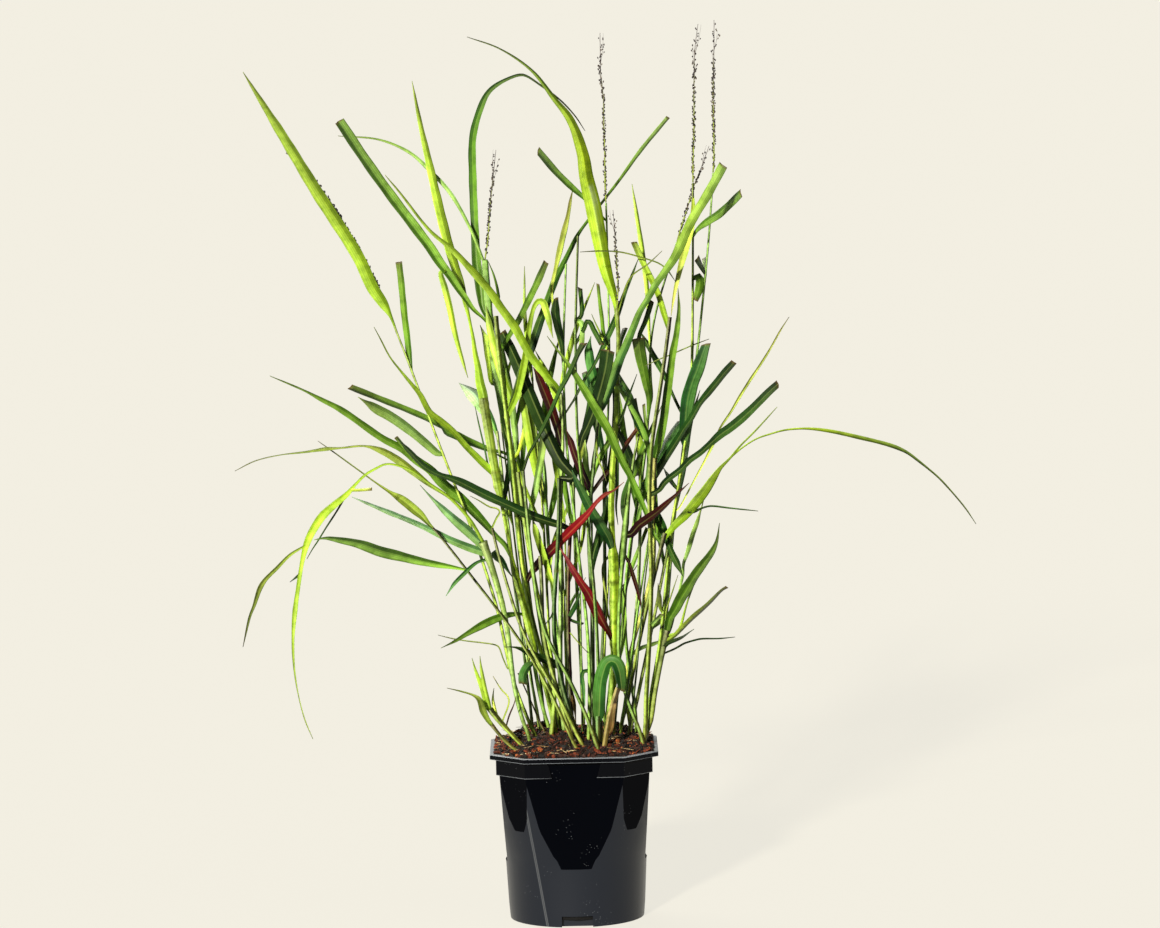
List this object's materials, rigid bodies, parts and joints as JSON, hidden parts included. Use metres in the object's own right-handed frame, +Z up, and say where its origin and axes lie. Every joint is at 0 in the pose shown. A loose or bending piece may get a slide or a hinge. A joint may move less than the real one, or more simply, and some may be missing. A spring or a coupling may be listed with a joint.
{
  "type": "potted ornamental grass",
  "caption": "Young switchgrass clump with arching and cut green blades, reddish older leaves and fine seed heads, in a square-shouldered black nursery pot.",
  "frame": {"origin": "centre of the pot's underside, on the ground", "axes": "+Z up along the pot's axis, -Y towards the front, +X to the right"},
  "size_m": [0.7611, 0.4548, 0.8955],
  "materials": {
    "pot_plastic": "glossy black",
    "potting_mix": "loose bark and peat",
    "blade_bright": "satin leaf",
    "blade_light": "satin leaf",
    "blade_green": "satin leaf",
    "blade_dark": "satin leaf",
    "blade_blue": "satin leaf",
    "blade_yellow": "satin leaf",
    "blade_olive": "satin leaf",
    "blade_purple": "satin leaf",
    "blade_tan": "satin leaf",
    "seed_head": "dry husk"
  },
  "bodies": {
    "root": {"pot": "pot_plastic", "soil": "potting_mix", "culm_01": "blade_green", "culm_02": "blade_light", "culm_03": "blade_olive", "culm_04": "blade_olive", "culm_05": "blade_bright", "culm_06": "blade_light", "culm_07": "blade_dark", "culm_08": "blade_bright", "culm_09": "blade_bright", "culm_10": "blade_green", "culm_11": "blade_olive", "culm_12": "blade_dark", "culm_13": "blade_light", "culm_14": "blade_yellow", "culm_15": "blade_purple", "culm_16": "blade_dark", "culm_17": "blade_olive", "culm_18": "blade_bright", "culm_19": "blade_green", "culm_20": "blade_green", "culm_21": "blade_light", "culm_22": "blade_olive", "culm_23": "blade_yellow", "culm_24": "blade_olive", "culm_25": "blade_olive", "culm_26": "blade_green", "culm_27": "blade_olive", "culm_28": "blade_dark", "culm_29": "blade_green", "culm_30": "blade_dark", "culm_31": "blade_bright", "culm_32": "blade_green", "culm_33": "blade_olive", "shoot_folded": "blade_blue", "shoot_dry": "blade_tan", "shoot_curled": "blade_olive", "shoot_young": "blade_bright", "shoot_thin": "blade_purple", "seed_head_1": "seed_head", "seed_head_2": "seed_head", "seed_head_3": "seed_head", "seed_head_4": "seed_head", "seed_head_5": "seed_head", "seed_head_6": "seed_head", "seed_head_7": "seed_head"}
  },
  "joints": []
}
